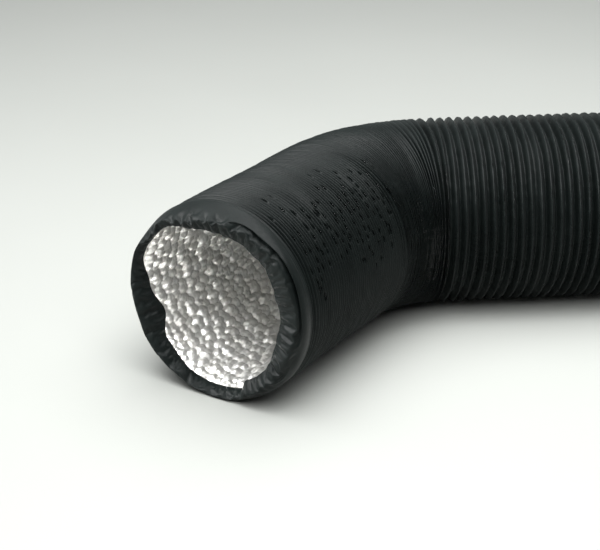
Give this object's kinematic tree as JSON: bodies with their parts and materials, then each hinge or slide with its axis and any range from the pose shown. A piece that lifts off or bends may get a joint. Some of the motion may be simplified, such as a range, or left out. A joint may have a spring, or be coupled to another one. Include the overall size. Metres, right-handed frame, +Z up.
{
  "type": "flexible air duct",
  "caption": "Two-ply flexible air duct with black jacket, crinkled foil liner and wire helix, part pushed together, part drawn out, bent sideways.",
  "frame": {"origin": "centre of the far end's bore, where its straight wall begins behind the lip", "axes": "+X out of the far end along its bore, +Z up, the floor at the underside of the jacket"},
  "size_m": [0.7266, 0.505, 0.261],
  "materials": {
    "black_pvc": "satin vinyl film",
    "foil": "crinkled bright foil laminate",
    "spring_steel": "bright drawn wire"
  },
  "bodies": {
    "far_end": {"hem_far_end": "black_pvc", "jacket_far_end": "black_pvc", "liner_far_end": "foil", "wire_far_end": "spring_steel"},
    "tail_1": {"jacket_tail_1": "black_pvc", "liner_tail_1": "foil", "wire_tail_1": "spring_steel"},
    "tail_2": {"jacket_tail_2": "black_pvc", "liner_tail_2": "foil", "wire_tail_2": "spring_steel"},
    "tail_3": {"jacket_tail_3": "black_pvc", "liner_tail_3": "foil", "wire_tail_3": "spring_steel"},
    "tail_4": {"jacket_tail_4": "black_pvc", "liner_tail_4": "foil", "wire_tail_4": "spring_steel"},
    "bend_1": {"jacket_bend_1": "black_pvc", "liner_bend_1": "foil", "wire_bend_1": "spring_steel"},
    "bend_2": {"jacket_bend_2": "black_pvc", "liner_bend_2": "foil", "wire_bend_2": "spring_steel"},
    "bend_3": {"jacket_bend_3": "black_pvc", "liner_bend_3": "foil", "wire_bend_3": "spring_steel"},
    "bend_4": {"jacket_bend_4": "black_pvc", "liner_bend_4": "foil", "wire_bend_4": "spring_steel"},
    "bend_5": {"jacket_bend_5": "black_pvc", "liner_bend_5": "foil", "wire_bend_5": "spring_steel"},
    "bend_6": {"jacket_bend_6": "black_pvc", "liner_bend_6": "foil", "wire_bend_6": "spring_steel"},
    "front_1": {"jacket_front_1": "black_pvc", "liner_front_1": "foil", "wire_front_1": "spring_steel"},
    "front_2": {"jacket_front_2": "black_pvc", "liner_front_2": "foil", "wire_front_2": "spring_steel"},
    "front_3": {"jacket_front_3": "black_pvc", "liner_front_3": "foil", "wire_front_3": "spring_steel"},
    "front_4": {"jacket_front_4": "black_pvc", "liner_front_4": "foil", "wire_front_4": "spring_steel"},
    "mouth": {"hem_mouth": "black_pvc", "jacket_mouth": "black_pvc", "liner_mouth": "foil", "wire_mouth": "spring_steel"}
  },
  "joints": [
    {"name": "tail_stretch", "type": "slide", "parent": "tail_1", "child": "far_end", "axis": [1, 0, 0], "range_m": [-0.026, 0.012], "deforming": ["jacket_tail_1", "liner_tail_1", "jacket_far_end", "liner_far_end"]},
    {"name": "tail_tilt", "type": "hinge", "parent": "tail_2", "child": "tail_1", "pos_m": [-0.126, 0, 0], "axis": [0, -1, 0], "range_deg": [-5, 5], "deforming": ["jacket_tail_2", "liner_tail_2"]},
    {"name": "tail_stretch_2", "type": "slide", "parent": "tail_3", "child": "tail_2", "axis": [1, 0, 0], "range_m": [-0.026, 0.012], "deforming": ["jacket_tail_3", "liner_tail_3"]},
    {"name": "tail_tilt_2", "type": "hinge", "parent": "tail_4", "child": "tail_3", "pos_m": [-0.218, 0, 0], "axis": [0, -1, 0], "range_deg": [-5, 5], "deforming": ["jacket_tail_4", "liner_tail_4"]},
    {"name": "tail_stretch_3", "type": "slide", "parent": "bend_1", "child": "tail_4", "axis": [1, 0, 0], "range_m": [-0.026, 0.012], "deforming": ["jacket_bend_1", "liner_bend_1"]},
    {"name": "sideways_bend", "type": "hinge", "parent": "bend_1", "child": "bend_2", "pos_m": [-0.30587, -0.0006, 0], "axis": [0, 0, 1], "range_deg": [-8.6, 2], "deforming": ["jacket_bend_2", "liner_bend_2"]},
    {"name": "sideways_bend_2", "type": "hinge", "parent": "bend_2", "child": "bend_3", "pos_m": [-0.33724, -0.00538, 0], "axis": [0, 0, 1], "range_deg": [-8.6, 2], "deforming": ["jacket_bend_3", "liner_bend_3"]},
    {"name": "sideways_bend_3", "type": "hinge", "parent": "bend_3", "child": "bend_4", "pos_m": [-0.36753, -0.01484, 0], "axis": [0, 0, 1], "range_deg": [-8.6, 2], "deforming": ["jacket_bend_4", "liner_bend_4"]},
    {"name": "sideways_bend_4", "type": "hinge", "parent": "bend_4", "child": "bend_5", "pos_m": [-0.39606, -0.02875, 0], "axis": [0, 0, 1], "range_deg": [-8.6, 2], "deforming": ["jacket_bend_5", "liner_bend_5"]},
    {"name": "sideways_bend_5", "type": "hinge", "parent": "bend_5", "child": "bend_6", "pos_m": [-0.42216, -0.0468, 0], "axis": [0, 0, 1], "range_deg": [-8.6, 2], "deforming": ["jacket_bend_6", "liner_bend_6"]},
    {"name": "sideways_bend_6", "type": "hinge", "parent": "bend_6", "child": "front_1", "pos_m": [-0.44524, -0.06858, 0], "axis": [0, 0, 1], "range_deg": [-8.6, 2], "deforming": ["jacket_front_1", "liner_front_1"]},
    {"name": "front_stretch", "type": "slide", "parent": "front_1", "child": "front_2", "axis": [-0.6157, -0.788, 0], "range_m": [0, 0.119], "deforming": ["jacket_front_2", "liner_front_2"]},
    {"name": "front_stretch_2", "type": "slide", "parent": "front_2", "child": "front_3", "axis": [-0.6157, -0.788, 0], "range_m": [0, 0.119], "deforming": ["jacket_front_3", "liner_front_3"]},
    {"name": "front_stretch_3", "type": "slide", "parent": "front_3", "child": "front_4", "axis": [-0.6157, -0.788, 0], "range_m": [0, 0.119], "deforming": ["jacket_front_4", "liner_front_4"]},
    {"name": "front_stretch_4", "type": "slide", "parent": "front_4", "child": "mouth", "axis": [-0.6157, -0.788, 0], "range_m": [0, 0.119], "deforming": ["jacket_mouth", "liner_mouth"]}
  ],
  "couplings": [
    {"joint": "tail_stretch_2", "follows": "tail_stretch", "ratio": 1},
    {"joint": "tail_tilt_2", "follows": "tail_tilt", "ratio": 1},
    {"joint": "tail_stretch_3", "follows": "tail_stretch", "ratio": 1},
    {"joint": "sideways_bend_2", "follows": "sideways_bend", "ratio": 1},
    {"joint": "sideways_bend_3", "follows": "sideways_bend", "ratio": 1},
    {"joint": "sideways_bend_4", "follows": "sideways_bend", "ratio": 1},
    {"joint": "sideways_bend_5", "follows": "sideways_bend", "ratio": 1},
    {"joint": "sideways_bend_6", "follows": "sideways_bend", "ratio": 1},
    {"joint": "front_stretch_2", "follows": "front_stretch", "ratio": 1},
    {"joint": "front_stretch_3", "follows": "front_stretch", "ratio": 1},
    {"joint": "front_stretch_4", "follows": "front_stretch", "ratio": 1}
  ]
}
